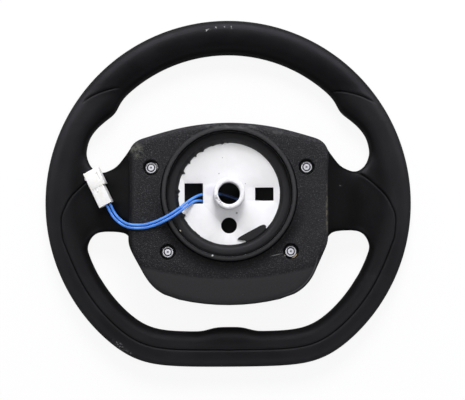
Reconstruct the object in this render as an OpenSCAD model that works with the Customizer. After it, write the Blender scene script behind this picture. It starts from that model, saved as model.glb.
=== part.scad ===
// Car steering wheel, two spokes, flat bottom, seen and stored on its face.
// The shaft runs along Z, the column side faces +Z, and 12 o'clock is +Y.
// z = 0 is the column side of the steel hub plate, on the shaft's axis.

/* [Rim] */
// Outer diameter of the rim
rim_d = 370; // [340:1:400]
// Distance from the shaft down to the centre of the rim's circle
rim_drop = 8; // [0:1:14]
// Distance from the shaft down to the flat edge of the rim
flat_drop = 174; // [166:1:184]
// Width of the grip, seen from the column
grip_w = 35.2; // [30:0.1:38]
// Depth of the grip along the shaft
grip_t = 31; // [26:0.5:36]
// Depth of the rim's middle plane below the hub plate
dish = 35; // [31:0.5:42]
// Height of the thumb rests on the inside of the rim
thumb_h = 3.6; // [0:0.2:6]
// Height of the swelling on the inside of the flat edge
swell_h = 4.4; // [0:0.2:6]
// Diameter of the steel rod in the rim
rod_d = 12; // [8:0.5:14]

/* [Hub] */
// Bore for the shaft
bore_d = 22; // [16:0.5:24]
// Outer diameter of the turned boss
boss_d = 31.6; // [29:0.2:34]
// Height of the boss above the hub plate
boss_h = 18; // [12:1:24]
// Thickness of the hub plate
plate_t = 3; // [2:0.25:4]
// Radius of the hub plate's round middle
plate_r = 62; // [58:1:64]
// Width of the two arms that the hub plate sends into the spokes
arm_w = 30; // [22:1:36]
// Radius of the part of the hub plate that the foam leaves bare
bare_r = 51; // [47:0.5:53]
// Width of the two windows beside the boss
window_w = 18.4; // [14:0.2:20]
// Height of the window on the left
window_left_h = 20.4; // [16:0.2:24]
// Height of the window on the right
window_right_h = 13.2; // [10:0.2:18]
// Diameter of the round hole under the boss
locating_d = 15.8; // [8:0.2:18]

/* [Rear cover] */
// Half of the cover's width
cover_x = 98.5; // [96:0.5:101]
// Distance from the shaft up to the cover's top edge
cover_top = 70.5; // [69.5:0.5:74]
// Distance from the shaft down to the cover's bottom edge
cover_low = 110.5; // [107:0.5:114]
// Height of the cover's face above the hub plate
cover_z = 12; // [10:0.5:15]
// Wall thickness of the mouldings
wall = 2.5; // [2:0.1:3]
// Outer diameter of the collar
collar_d = 134; // [132:0.5:136]
// Height of the collar above the cover's face
collar_h = 4.5; // [2:0.5:7]
// Half of the spacing of the two upper screws
screw_up_x = 77.3; // [75:0.1:79]
// Height of the two upper screws over the shaft
screw_up_y = 26; // [22:0.5:29]
// Half of the spacing of the two lower screws
screw_low_x = 61.1; // [59:0.1:64]
// Distance from the shaft down to the two lower screws
screw_low_y = 57.8; // [54:0.2:60]

/* [Fasteners] */
// Thread diameter of the cover screws
screw_d = 5; // [4:0.5:6]
// Diameter of the flange under each screw head
flange_d = 11.2; // [10:0.2:13]
// Diameter of the washers
washer_d = 13.4; // [13.2:0.1:14.6]
// Diameter of the counterbores in the cover
recess_d = 15.8; // [15:0.2:17]

/* [Horn switch] */
// How far the horn pad travels
horn_travel = 2.5; // [1:0.5:3]
// Outer diameter of the springs
spring_d = 11; // [9:0.5:12]
// Wire diameter of the springs
spring_wire = 1.5; // [1:0.1:1.8]
// Mean radius of the two contact rings
contact_r = 30; // [28:0.5:34]

/* [Lead] */
// Diameter of each of the two leads
lead_d = 2.7; // [2:0.1:3]
// Length of the connector
plug_l = 37.8; // [34:0.2:40]
// Width of the connector's body
plug_w = 14.2; // [13:0.2:16]
// Thickness of the connector's body
plug_t = 8.2; // [7.6:0.2:10]

/* [Hidden] */
$fn = 48;
// Running gap between the foam and the steel in it, and between mouldings
fit = 0.3;
// Small length by which a cut passes a face
over = 1;

// The rim: its circle, its flat and the rings of its section
rim_r = rim_d / 2;
rim_flat = flat_drop - rim_drop;
corner = 25; // sharpness of the corners between the circle and the flat
rim_steps = 84;
ring_steps = 20;
core_steps = 60;
core_sides = 12;
squareness = 2.3; // 2 is an ellipse, more is squarer
thumb_at = 38.5; // degrees above the spokes
hollow_h = 4.2; // depth of the palm hollow between thumb rest and spoke
hollow_at = 25;

// The hub, from the column side down to the driver's side
boss_spigot_r = bore_d / 2 + 2.5;
boss_foot = 6;
band_r = max(plate_r, bare_r + 11) + 4; // outer radius of the foam band round the plate
face_edge = 6; // width of the rounded edge round the cover's face
seam_z = -6; // where the cover meets the front housing
spoke_top = 1; // column side of the foam where it leaves the cover
spoke_low = -21;
spoke_y = [-44.5, 46];
spoke_sides = 24;
skirt_y = -81; // where the cover's face turns down
floor_z = -15; // driver's side of the housing's floor
floor_t = 2.5;
floor_top = floor_z + floor_t;
housing_low = -30;
pad_top = -27;
pad_face = -46.5;
access_r = 24; // opening behind the shaft nut
screws = [
    [-screw_up_x, screw_up_y], [screw_up_x, screw_up_y],
    [-screw_low_x, -screw_low_y], [screw_low_x, -screw_low_y]
];
ear_r = 11;
seat_z = 4; // floor of the counterbores
column_r = recess_d / 2 + wall; // columns that the counterbores are sunk into
washer_t = 1.2;
washer_shift = [[0.5, -0.3], [0, 0], [0, 0.2], [0.3, -0.3]];
screw_end = floor_z + 2;
thread_gap = 0.05;
mould_boss_r = 5.5;

// The horn switch
contact_t = 0.8;
contact_w = 6;
contact_gap = horn_travel + fit;
pad_contact_z = floor_z - contact_t - contact_gap - contact_t;
post_r = 2.6;
post_count = 4;
spring_seat = -38;
springs = [[-58, 36], [58, 36], [-40, -78], [40, -78]];
spring_turns = 5;
spring_steps = 10;
spring_sides = 6;
hooks = [[-34, 60], [34, 60], [-66, -38], [66, -38]];
hook_w = 8;
hook_t = 2;
hook_nose = 1.6;
hook_slot = 0.5;

// The connector lies on the left spoke, its mouth towards 12 o'clock
plug_at = [-130.6, 7.05, -13.05];
plug_turn = 25.4;
plug_tilt = -5;
plug_roll = -15;
plug_hood_l = 18.5;
plug_step = 2.4; // how far the hood stands out on the right
way_pitch = lead_d + 0.9;
pin_x = [0.3 + way_pitch, 0.3]; // offsets of the two ways from the connector's middle
pin_depth = 5; // how far the leads reach into the housing
pin_w = 2.2;
pin_t = 0.8;
mouth_free = 8; // free depth of the mouth in front of the pins

// Routes of the leads, from the connector to the terminals
route_a = [
    [-121.3, -3.9, -10.8], [-118.3, -10.1, -10.2], [-115.4, -16.2, -9.6], [-111.8, -21.5, -7], [-107.6, -25.6, -2],
    [-103.2, -28.6, 4.4], [-98.8, -30.2, 11.4], [-93.4, -30.9, 14], [-84, -30.6, 13.8],
    [-74, -28, 15], [-66, -24.6, 18], [-58.5, -20.6, 18.7], [-50, -14.8, 14.2],
    [-42, -8.8, 7.8], [-35, -3.8, 0.8], [-27, -0.4, -5.4], [-18, 1, -8.8],
    [-9, 0.2, -9.9], [0, -2.2, -10], [8, -5, -10], [15, -7.2, -10], [21, -8, -10]
];
route_b = [
    [-124.4, -5.4, -11.8], [-121.4, -11.6, -11.1], [-118.2, -18, -10.4], [-114.4, -23.6, -7.8], [-109.4, -28.2, -2.4],
    [-103.8, -31.6, 4.4], [-98.9, -33.4, 11.4], [-93.4, -34, 14], [-83.6, -33.7, 13.8],
    [-73, -31, 15], [-64.6, -27.4, 18], [-57, -23.4, 18.7], [-49.2, -17.9, 14.2],
    [-41.4, -12.2, 7.8], [-34.4, -7.4, 0.6], [-27, -6.8, -5.6], [-20, -9.2, -9.2], [-14, -12.4, -10], [-10, -14, -10]
];
lead_sides = 8;

// Bell and plateau curves, for swellings on the rim
function bell(u) = exp(-u * u);
function plateau(u) = exp(-pow(u, 4));
// Polar radius of a circle of radius r, cut by a flat at distance f below its centre
function cut_circle(r, f, a) = r * pow(1 + pow(max(0, -sin(a)) * r / f, corner), -1 / corner);
function fold_angle(a) = abs(a) > 90 ? 180 - abs(a) : abs(a);
function rim_outer(a) = cut_circle(rim_r, rim_flat, a);
function rim_thumb(a) = a > 0 && a < 180
    ? thumb_h * bell((fold_angle(a) - thumb_at) / 4.5) - hollow_h * bell((fold_angle(a) - hollow_at) / 6.5)
    : 0;
function rim_swell(a) = swell_h * plateau((a + 90) / 9.9);
function rim_inner(a) = cut_circle(rim_r - grip_w, rim_flat - grip_w - 1, a) - rim_thumb(a) - rim_swell(a);
function signed_pow(v, p) = sign(v) * pow(abs(v), p);

// Faces of a tube of n rings with m points each, closed on itself or capped
function tube_faces(n, m, closed) = concat(
    [for (i = [0 : n - (closed ? 1 : 2)]) for (j = [0 : m - 1])
        [i * m + j, i * m + (j + 1) % m, ((i + 1) % n) * m + (j + 1) % m]],
    [for (i = [0 : n - (closed ? 1 : 2)]) for (j = [0 : m - 1])
        [i * m + j, ((i + 1) % n) * m + (j + 1) % m, ((i + 1) % n) * m + j]],
    closed ? [] : [[for (j = [m - 1 : -1 : 0]) j]],
    closed ? [] : [[for (j = [0 : m - 1]) (n - 1) * m + j]]
);

function unit(v) = v / norm(v);
// Points of a round section of radius r at point k of a path
function path_dir(p, k) = unit(p[min(k + 1, len(p) - 1)] - p[max(k - 1, 0)]);
function path_ring(p, k, r, m) =
    let (t = path_dir(p, k), s = unit(cross(t, [0, 0, 1])), u = cross(s, t))
    [for (j = [0 : m - 1]) p[k] + r * (cos(360 * j / m) * s + sin(360 * j / m) * u)];

// A solid through a list of rings with the same number of points, clockwise along the way
module loft(rings, closed = false) {
    polyhedron(
        points = [for (ring = rings) each ring],
        faces = tube_faces(len(rings), len(rings[0]), closed),
        convexity = 10
    );
}

module sweep(path, r, sides) {
    loft([for (k = [0 : len(path) - 1]) path_ring(path, k, r, sides)]);
}

// Rounded outline shared by the cover, the front housing and the horn pad
function arc(c, r, a0, a1, n) = [for (i = [0 : n]) c + r * [cos(a0 + (a1 - a0) * i / n), sin(a0 + (a1 - a0) * i / n)]];
top_bow = 232;
low_bow = 222;
function left_side(inset) = concat(
    arc([0, cover_top - top_bow], top_bow - inset, 90, 108.5, 5),
    arc([20 - cover_x, 35.5], 20 - inset, 112, 180, 6),
    arc([30 - cover_x, -42], 30 - inset, 182, 203, 3),
    arc([54 - cover_x, 50.5 - cover_low], 44.5 - inset, 206, 243, 6),
    arc([0, low_bow - cover_low], low_bow - inset, 257, 270, 4)
);
function mirrored(p) = [for (i = [len(p) - 2 : -1 : 1]) [-p[i][0], p[i][1]]];
function outline(inset) = concat(left_side(inset), mirrored(left_side(inset)));

// A form of that outline through levels [z, inset], from the top down
module form(levels) {
    loft([for (l = levels) [for (q = outline(l[1])) [q[0], q[1], l[0]]]]);
}

module outline_2d(inset) {
    polygon(outline(inset));
}

// The foam moulding: grip, spokes and the band round the hub plate
module rim_ring() {
    angles = [for (i = [0 : rim_steps - 1]) -180 + 360 * i / rim_steps];
    loft(closed = true, [
        for (a = angles) [
            for (j = [0 : ring_steps - 1])
                let (
                    b = 360 * j / ring_steps,
                    mid = (rim_outer(a) + rim_inner(a)) / 2,
                    half = (rim_outer(a) - rim_inner(a)) / 2,
                    r = mid + half * signed_pow(cos(b), 2 / squareness),
                    z = -dish + grip_t / 2 * signed_pow(sin(b), 2 / squareness)
                )
                [r * cos(a), r * sin(a) - rim_drop, z]
        ]
    ]);
}

module core_ring(r) {
    angles = [for (i = [0 : core_steps - 1]) -180 + 360 * i / core_steps];
    loft(closed = true, [
        for (a = angles) [
            for (j = [0 : core_sides - 1])
                let (
                    b = 360 * j / core_sides,
                    d = cut_circle(rim_r - grip_w / 2, rim_flat - grip_w / 2, a) + r * cos(b)
                )
                [d * cos(a), d * sin(a) - rim_drop, -dish + r * sin(b)]
        ]
    ]);
}

// How far the foam sinks on its way out to the rim
rim_low = -dish - 9;
rim_top = 14 - dish;
function sink(from, to, share) = from + (to - from) * share;

// One section of a spoke: [share of the way out, lowest y, highest y, share sunk below, share sunk on top, squareness]
spoke_start = cover_x - 0.5;
spoke_end = rim_r - 29;
spoke_sections = [
    [-0.165, spoke_y[0], spoke_y[1], -0.04, 0, 6],
    [0, spoke_y[0], spoke_y[1], 0, 0, 6],
    [0.052, -41, 42, 0.08, 0.12, 5.6],
    [0.103, -38.8, 38.2, 0.17, 0.27, 5],
    [0.241, -37.2, 29.2, 0.39, 0.57, 4],
    [0.379, -36.8, 24.8, 0.57, 0.77, 3.4],
    [0.517, -37.2, 23, 0.74, 0.89, 3],
    [0.655, -40.5, 27, 0.91, 0.96, 2.8],
    [0.741, -48, 34, 1, 1, 2.6],
    [0.793, -58, 44, 1.04, 1.02, 2.6],
    [1, -72, 58, 1.13, 1.09, 2.4]
];

function spoke_ring(s) = [
    for (i = [0 : spoke_sides - 1])
        let (
            b = -360 * i / spoke_sides,
            low = sink(spoke_low, rim_low, s[3]),
            top = sink(spoke_top, rim_top, s[4])
        )
        [
            sink(spoke_start, spoke_end, s[0]),
            (s[1] + s[2]) / 2 + (s[2] - s[1]) / 2 * signed_pow(cos(b), 2 / s[5]),
            (low + top) / 2 + (top - low) / 2 * signed_pow(sin(b), 2 / s[5])
        ]
];

module spoke() {
    loft([for (s = spoke_sections) spoke_ring(s)]);
    translate([band_r - 8, -22, -11.5]) cube([spoke_start - 6 - band_r + 8, 36, 13.5]);
}

module hub_band() {
    intersection() {
        rotate_extrude($fn = 60)
            polygon([
                [bare_r, -1], [bare_r, 1.2], [bare_r + 2, 3.2], [bare_r + 5, 5], [bare_r + 8.5, 5],
                [bare_r + 9.5, 3], [band_r, 2.4], [band_r, -9], [bare_r + 5, -9], [bare_r + 3, -2]
            ]);
        translate([0, 0, floor_z]) linear_extrude(-2 * floor_z) outline_2d(wall + fit);
    }
}

// Room for the screw columns of the cover
module column_room() {
    for (s = screws) translate([s[0], s[1], -plate_t]) cylinder(r = column_r + fit, h = 20);
}

// Outline of the loose flap at the lower right, as [angle, distance in from the foam's edge]
flap = [
    [-79.6, 4.6], [-75.6, 6.8], [-63.3, 8], [-50.8, 7.3], [-43, 5.3], [-41.1, 3], [-43.7, 0.1],
    [-42, -2.8], [-56.9, -3.9], [-70.9, -4], [-72.3, -1.7], [-71.8, 1.7], [-75.4, 3.3]
];

// Ragged flash that the mould left on the hub plate, and the flap
module flash() {
    translate([0, 0, -1]) linear_extrude(1.9) {
        difference() {
            circle(r = bare_r + 2);
            circle(r = bare_r - 0.2);
            translate([0, -2 * bare_r]) square(4 * bare_r);
        }
        for (f = [[208, 2.6, 2.2], [196, 1.4, 3], [178, 1.5, 4.4], [157, 3.2, 2.6], [146, 1.6, 3], [136, 2.2, 3.4], [122, 1.2, 5]])
            rotate(f[0]) hull() {
                translate([bare_r - f[1] + 0.6, 0]) circle(r = 0.6, $fn = 16);
                translate([bare_r, -f[2] / 2]) square([1, f[2]]);
            }
    }
    translate([0, 0, -1]) linear_extrude(2.6)
        polygon([for (q = flap) (bare_r - q[1]) * [cos(q[0]), sin(q[0])]]);
}

module foam_body() {
    rim_ring();
    spoke();
    mirror([1, 0, 0]) spoke();
    hub_band();
    flash();
}

module rim_grip() {
    color("#242426") difference() {
        foam_body();
        core_ring(rod_d / 2 + fit + 0.1);
        plate_body(fit, fit + 0.1);
        column_room();
    }
}

module rim_core() {
    color("#6f7276") core_ring(rod_d / 2);
}

// The hub plate: a stamped disc with ears for the screws and arms that rest on the rim's rod
arm_top = -dish + rod_d / 2 + plate_t + 0.1;
arm_line = [
    [40, 0], [80, 0],
    for (s = [[0.034, 0.35], [0.345, 0.81], [0.759, 1]]) [sink(spoke_start, spoke_end, s[0]), s[1] * arm_top],
    [rim_r - grip_w / 2 + 6, arm_top]
];

module arm(grow) {
    lower = [for (i = [len(arm_line) - 1 : -1 : 0]) arm_line[i] - [0, plate_t]];
    translate([0, arm_w / 2 - 4 + grow, 0])
        rotate([90, 0, 0])
            linear_extrude(arm_w + 2 * grow)
                offset(delta = grow) polygon(concat(arm_line, lower));
}

module plate_body(grow = 0, arm_grow = 0) {
    translate([0, 0, -plate_t - grow]) {
        cylinder(r = plate_r + grow, h = plate_t + 2 * grow, $fn = 72);
        for (s = screws) linear_extrude(plate_t + 2 * grow) hull() {
            translate(s) circle(r = ear_r + grow, $fn = 32);
            translate(s * 0.55) circle(r = 14 + grow, $fn = 32);
        }
    }
    arm(arm_grow);
    mirror([1, 0, 0]) arm(arm_grow);
}

module window(size, at) {
    translate([at[0], at[1], -plate_t - over])
        linear_extrude(plate_t + 2 * over)
            offset(r = 0.6, $fn = 16) offset(delta = -0.6) square(size, center = true);
}

module hub_plate() {
    color("#d9dbdc") difference() {
        plate_body();
        translate([0, 0, -plate_t - over]) cylinder(r = boss_spigot_r, h = plate_t + 2 * over);
        window([window_w, window_left_h], [-35, 0.4]);
        window([window_w, window_right_h], [35.4, -0.5]);
        translate([0, -31.6, -plate_t - over]) cylinder(d = locating_d, h = plate_t + 2 * over);
        for (s = screws) translate([s[0], s[1], -plate_t - over]) cylinder(d = screw_d + 1, h = plate_t + 2 * over);
    }
}

module hub_boss() {
    chamfer = 1.4;
    r = boss_d / 2;
    color("#cfd1d3") rotate_extrude($fn = 72)
        polygon([
            [bore_d / 2, -boss_foot], [boss_spigot_r, -boss_foot], [boss_spigot_r, 0], [r, 0],
            [r, boss_h - chamfer], [r - chamfer, boss_h], [bore_d / 2 + 0.8, boss_h], [bore_d / 2, boss_h - 0.8]
        ]);
}

// The rear cover: a shell with a collar, four counterbores and a lower skirt that slopes down
module cover_form(inset, drop, low) {
    top = cover_z - drop;
    difference() {
        form([[top, inset + face_edge], [top - 0.7, inset + 3], [top - 2.6, inset + 1], [top - 6, inset], [low, inset]]);
        skirt_cut(drop);
    }
}

module skirt_cut(drop) {
    run = cover_low + skirt_y;
    fall = cover_z - seam_z - 3;
    translate([0, skirt_y, cover_z - drop])
        rotate([atan(fall / run), 0, 0])
            translate([-150, -100, 0]) cube([300, 100, 60]);
}

module cover_screw_wells(r, z) {
    for (s = screws) translate([s[0], s[1], z]) cylinder(r = r, h = cover_z + over - z);
}

module rear_cover() {
    lip_r = collar_d / 2;
    lip_z = cover_z + collar_h;
    throat_r = lip_r - 5.5;
    color("#2b2b2d") {
        difference() {
            union() {
                difference() {
                    cover_form(0, 0, seam_z);
                    cover_form(wall, wall, seam_z - over);
                }
                for (s = screws) translate([s[0], s[1], 0]) cylinder(r = column_r, h = cover_z - wall / 2);
            }
            cover_screw_wells(recess_d / 2, seat_z);
            translate([0, 0, -over]) for (s = screws) translate([s[0], s[1], 0]) cylinder(d = screw_d + 0.8, h = 8);
            translate([0, 0, -40]) cylinder(r = throat_r + 1, h = 80, $fn = 72);
            for (side = [-1, 1])
                translate([side > 0 ? 86 : -186, spoke_y[0] - 1, seam_z - over])
                    cube([100, spoke_y[1] - spoke_y[0] + 2, spoke_top + fit - seam_z + over]);
        }
        rotate_extrude($fn = 96)
            polygon([
                [throat_r, 6], [throat_r + 2, 6], [throat_r + 2, cover_z - wall + 0.2], [lip_r, cover_z - wall + 0.2],
                [lip_r, cover_z + 0.2], [lip_r - 0.6, lip_z - 1.4], [lip_r - 1.8, lip_z - 0.2], [lip_r - 2.8, lip_z],
                [throat_r + 1.4, lip_z - 0.4], [throat_r, lip_z - 2]
            ]);
    }
}

// Screws with a flange, a groove round the middle of the head and a small square socket
module screw_at(s) {
    z = seat_z + washer_t;
    r = screw_d / 2;
    translate([s[0], s[1], 0]) difference() {
        rotate_extrude($fn = 48)
            polygon([
                [0, screw_end], [r - 1, screw_end], [r, screw_end + 1.5], [r, z], [flange_d / 2, z],
                [flange_d / 2, z + 1], [flange_d / 2 - 0.5, z + 1.6], [4.1, z + 1.6], [3.9, z + 0.9],
                [2.9, z + 0.9], [2.8, z + 2.6], [2.4, z + 3], [0, z + 3]
            ]);
        translate([-0.9, -0.9, z + 1]) cube([1.8, 1.8, 4]);
    }
}

module washer_at(s, shift) {
    translate([s[0] + shift[0], s[1] + shift[1], seat_z]) difference() {
        cylinder(d = washer_d, h = washer_t);
        translate([0, 0, -over]) cylinder(d = screw_d + 1.4, h = washer_t + 2 * over);
    }
}

// The front housing carries the horn switch and takes the four screws
module front_housing() {
    color("#232325") difference() {
        union() {
            difference() {
                translate([0, 0, housing_low]) linear_extrude(seam_z - housing_low) outline_2d(-0.6);
                translate([0, 0, housing_low - over])
                    linear_extrude(seam_z - housing_low + 2 * over) outline_2d(wall - 0.6);
            }
            translate([0, 0, floor_z]) linear_extrude(floor_t) outline_2d(wall - 1);
            for (s = screws) translate([s[0], s[1], floor_z]) cylinder(r = mould_boss_r, h = -plate_t - floor_z);
        }
        translate([0, 0, floor_z - over]) cylinder(r = access_r, h = floor_t + 2 * over);
        for (s = screws)
            translate([s[0], s[1], floor_z - over])
                cylinder(d = screw_d + 2 * thread_gap, h = -floor_z + over);
        for (side = [-1, 1])
            translate([side > 0 ? 86 : -186, spoke_y[0] - 1, spoke_low - 1 - fit])
                cube([100, spoke_y[1] - spoke_y[0] + 2, 60]);
        for (h = hooks)
            translate([h[0] - hook_w / 2 - hook_slot, h[1] - hook_t / 2 - hook_slot, floor_z - over])
                cube([hook_w + 2 * hook_slot, hook_t + hook_nose + 2 * hook_slot, 40]);
    }
}

// Contact rings, and the strips that the leads end on
module ring(z) {
    translate([0, 0, z]) difference() {
        cylinder(r = contact_r + contact_w / 2, h = contact_t, $fn = 64);
        translate([0, 0, -over]) cylinder(r = contact_r - contact_w / 2, h = contact_t + 2 * over, $fn = 64);
    }
}

module fixed_contact() {
    color("#c9b27a") ring(floor_z - contact_t);
}

module terminal(route, tab_h) {
    at = route[len(route) - 1];
    way = path_dir(route, len(route) - 1);
    top = at[2];
    translate([at[0], at[1], 0]) rotate(atan2(way[1], way[0])) {
        translate([0, 0, floor_top]) difference() {
            translate([0, -3, 0]) cube([12, 6, contact_t]);
            translate([9, 0, -over]) cylinder(d = 2, h = 4);
        }
        translate([0, 0, top]) rotate([0, 90, 0]) cylinder(d = lead_d + 0.8, h = 4);
        translate([0, -1.2, floor_top]) cube([4, 2.4, top - floor_top]);
        translate([11.2, -2.4, floor_top]) cube([contact_t, 4.8, tab_h]);
    }
}

module terminal_a() {
    color("#c8c8c4") terminal(route_a, 7);
}

module terminal_b() {
    color("#c8c8c4") terminal(route_b, 3);
}

// The horn pad: the driver's side shell, with posts for its contact, spring pins and snap hooks
module pad_form(inset, low) {
    form([[pad_top, inset], [low + 7, inset + 0.8], [low + 3, inset + 2.6], [low + 0.8, inset + 6], [low, inset + 10]]);
}

module horn_pad() {
    skin = pad_face + wall;
    edge = wall + 0.6;
    color("#262628") {
        difference() {
            pad_form(edge, pad_face);
            translate([0, 0, over]) pad_form(edge + wall, skin);
        }
        for (i = [0 : post_count - 1])
            rotate(45 + 90 * i)
                translate([contact_r, 0, skin - 0.5]) cylinder(r = post_r, h = pad_contact_z - skin + 0.5);
        for (s = springs) {
            translate([s[0], s[1], skin - 0.5]) cylinder(d = spring_d + 2, h = spring_seat - skin + 0.5);
            translate([s[0], s[1], spring_seat - 1]) cylinder(d = spring_d - 2 * spring_wire - 1.4, h = 9);
        }
        for (h = hooks) hook(h, skin);
    }
}

module hook(at, base) {
    nose_z = floor_top + fit;
    translate([at[0] + hook_w / 2, at[1] - hook_t / 2, 0])
        rotate([90, 0, -90])
            linear_extrude(hook_w)
                polygon([
                    [0, base - 0.5], [-hook_t, base - 0.5], [-hook_t, nose_z], [-hook_t - hook_nose + 0.1, nose_z],
                    [-hook_t, nose_z + 3], [0, nose_z + 3]
                ]);
}

module pad_contact() {
    color("#c9b27a") ring(pad_contact_z);
}

// A compression spring between the pad's seat and the housing's floor
function spring_point(k, low, high) =
    let (n = spring_turns * spring_steps, u = k / n, lift = min(1, max(0, (u * spring_turns - 0.75) / (spring_turns - 1.5))))
    [
        (spring_d - spring_wire) / 2 * cos(360 * k / spring_steps),
        (spring_d - spring_wire) / 2 * sin(360 * k / spring_steps),
        low + (high - low) * lift
    ];

module horn_spring(s) {
    low = spring_seat + spring_wire / 2 + 0.05;
    high = floor_z - spring_wire / 2 - 0.05;
    color("#9a9c9e") translate([s[0], s[1], 0])
        sweep([for (k = [0 : spring_turns * spring_steps]) spring_point(k, low, high)], spring_wire / 2, spring_sides);
}

// The connector: one housing with a hood round its mouth, a lock and two pins
module at_plug() {
    translate(plug_at) rotate([0, 0, plug_turn]) rotate([plug_tilt, 0, 0]) rotate([0, plug_roll, 0]) children();
}

module plug_block(w, t, y0, y1, r) {
    translate([0, y1, 0]) rotate([90, 0, 0])
        linear_extrude(y1 - y0) offset(r = r, $fn = 16) square([w - 2 * r, t - 2 * r], center = true);
}

module connector_housing() {
    back = -plug_l / 2;
    front = plug_l / 2;
    hood = front - plug_hood_l;
    color("#f1f0ea") at_plug() difference() {
        union() {
            plug_block(plug_w, plug_t, back, hood, 0.6);
            translate([plug_step / 2, 0, 0]) plug_block(plug_w + plug_step, plug_t + 0.8, hood, front, 0.8);
            translate([-plug_w / 2 - 1.6, front - 6.6, -1.5]) cube([2.1, 2.4, 3]);
        }
        translate([plug_w / 2 - 1.8, front - 13.5, plug_t / 2 - 0.5]) cube([1.4, 8.8, 2]);
        plug_block(plug_w - 1.6, plug_t - 2.2, hood + 3, front + over, 0.5);
        for (x = pin_x)
            translate([x, back - over, 0]) rotate([-90, 0, 0]) cylinder(d = lead_d + 0.3, h = pin_depth + over);
        for (x = pin_x)
            translate([x - pin_w / 2 - 0.1, back + pin_depth - 0.1, -pin_t / 2 - 0.1]) cube([pin_w + 0.2, plug_l, pin_t + 0.2]);
        translate([-2.2, hood - 4.6, plug_t / 2 - 1.2]) cube([2.6, 3.4, 3]);
    }
}

module connector_lock() {
    hood = plug_l / 2 - plug_hood_l;
    color("#e9e7dc") at_plug() translate([-2, hood - 4.4, plug_t / 2 - 1.1]) {
        cube([2.2, 3, 0.8]);
        translate([0, 0, 0.7]) cube([2.2, 1, 0.8]);
    }
}

module pin(i) {
    start = -plug_l / 2 + pin_depth;
    color("#c9a24a") at_plug()
        translate([pin_x[i] - pin_w / 2, start, -pin_t / 2]) cube([pin_w, plug_l - pin_depth - mouth_free, pin_t]);
}

module lead(route) {
    color("#3f7fe0") sweep(route, lead_d / 2, lead_sides);
}

rim_grip();
rim_core();
hub_plate();
hub_boss();
rear_cover();
front_housing();
color("#b9bcc0") screw_at(screws[0]);  // cover_screw_1
color("#b9bcc0") screw_at(screws[1]);  // cover_screw_2
color("#b9bcc0") screw_at(screws[2]);  // cover_screw_3
color("#b9bcc0") screw_at(screws[3]);  // cover_screw_4
color("#d0d2d4") washer_at(screws[0], washer_shift[0]);  // washer_1
color("#d0d2d4") washer_at(screws[1], washer_shift[1]);  // washer_2
color("#d0d2d4") washer_at(screws[2], washer_shift[2]);  // washer_3
color("#d0d2d4") washer_at(screws[3], washer_shift[3]);  // washer_4
fixed_contact();
terminal_a();
terminal_b();
horn_pad();
pad_contact();
horn_spring(springs[0]);  // horn_spring_1
horn_spring(springs[1]);  // horn_spring_2
horn_spring(springs[2]);  // horn_spring_3
horn_spring(springs[3]);  // horn_spring_4
lead(route_a);  // lead_a
lead(route_b);  // lead_b
connector_housing();
connector_lock();
pin(0);  // pin_a
pin(1);  // pin_b
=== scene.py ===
import bisect
import math

import bmesh
import bpy
from mathutils import Matrix, Vector, noise
from mathutils.kdtree import KDTree


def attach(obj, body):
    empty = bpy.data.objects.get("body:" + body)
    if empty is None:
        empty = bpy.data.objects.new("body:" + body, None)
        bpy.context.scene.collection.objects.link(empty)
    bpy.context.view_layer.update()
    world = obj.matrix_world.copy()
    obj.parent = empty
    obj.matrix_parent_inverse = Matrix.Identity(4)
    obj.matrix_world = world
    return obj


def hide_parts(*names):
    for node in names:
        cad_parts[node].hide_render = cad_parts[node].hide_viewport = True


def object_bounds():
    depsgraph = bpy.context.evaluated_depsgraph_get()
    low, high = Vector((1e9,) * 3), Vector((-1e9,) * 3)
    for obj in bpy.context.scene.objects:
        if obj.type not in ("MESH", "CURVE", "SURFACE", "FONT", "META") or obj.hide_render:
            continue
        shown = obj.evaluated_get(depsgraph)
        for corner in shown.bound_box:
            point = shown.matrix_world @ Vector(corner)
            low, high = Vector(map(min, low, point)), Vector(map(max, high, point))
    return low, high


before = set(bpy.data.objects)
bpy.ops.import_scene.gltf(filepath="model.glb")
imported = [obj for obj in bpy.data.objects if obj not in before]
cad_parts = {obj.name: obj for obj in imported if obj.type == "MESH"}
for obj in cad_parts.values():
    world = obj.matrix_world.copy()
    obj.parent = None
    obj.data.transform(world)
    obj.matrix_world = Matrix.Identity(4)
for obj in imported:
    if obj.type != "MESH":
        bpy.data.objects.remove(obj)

# The looks of a car steering wheel that lies on its face, seen from the column side.
# Sizes here are millimetres until a mesh or a curve is made.
MM = 0.001
cad_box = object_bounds()

# Sizes shared with the solids
RIM_R = 185
RIM_DROP = 8  # from the shaft down to the rim's centre
RIM_FLAT = 166  # from the rim's centre to the flat at 6 o'clock
GRIP_W = 35.2  # the grip, seen along the shaft
GRIP_T = 31  # the grip, along the shaft
DISH = 35  # from the plate's face to the rim's middle plane
# Thumb rests, palm hollows and the swelling at 6 o'clock: height, and degrees of place and half width
THUMB_H = 3.6
THUMB_AT = 38.5
THUMB_W = 4.5
HOLLOW_H = 4.2
HOLLOW_AT = 25
HOLLOW_W = 6.5
SWELL_H = 4.4
SWELL_W = 9.9
FLAT_CORNER = 25  # how tightly the flat turns into the circle
SQUARENESS = 2.3  # of the grip's section, 2 is an ellipse
BARE_R = 51  # the hub plate is bare of foam inside this
COVER_X = 98.5  # from the shaft to the cover's sides, its top and its lower end
COVER_TOP = 70.5
COVER_LOW = 110.5
COVER_Z = 12
PARTING_Z = -6  # where the rear cover meets the front housing
SKIRT_Y = -84
SKIRT_BOW = 8.5 / 72 ** 2  # rise of the skirt's fold towards the sides
WALL = 2.5
CORNER_R = 44.5  # the cover's round lower corners
CORNER_AT = (COVER_X - 54, 50.5 - COVER_LOW)
COLLAR_R = 67
LIP_W = 5.5
LIP_Z = 16.5
RECESS_R = 7.9  # the counterbores of the cover's screws, with the seat and the hole in their floor
SEAT_Z = 4
SCREW_HOLE_R = 2.9
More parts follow.
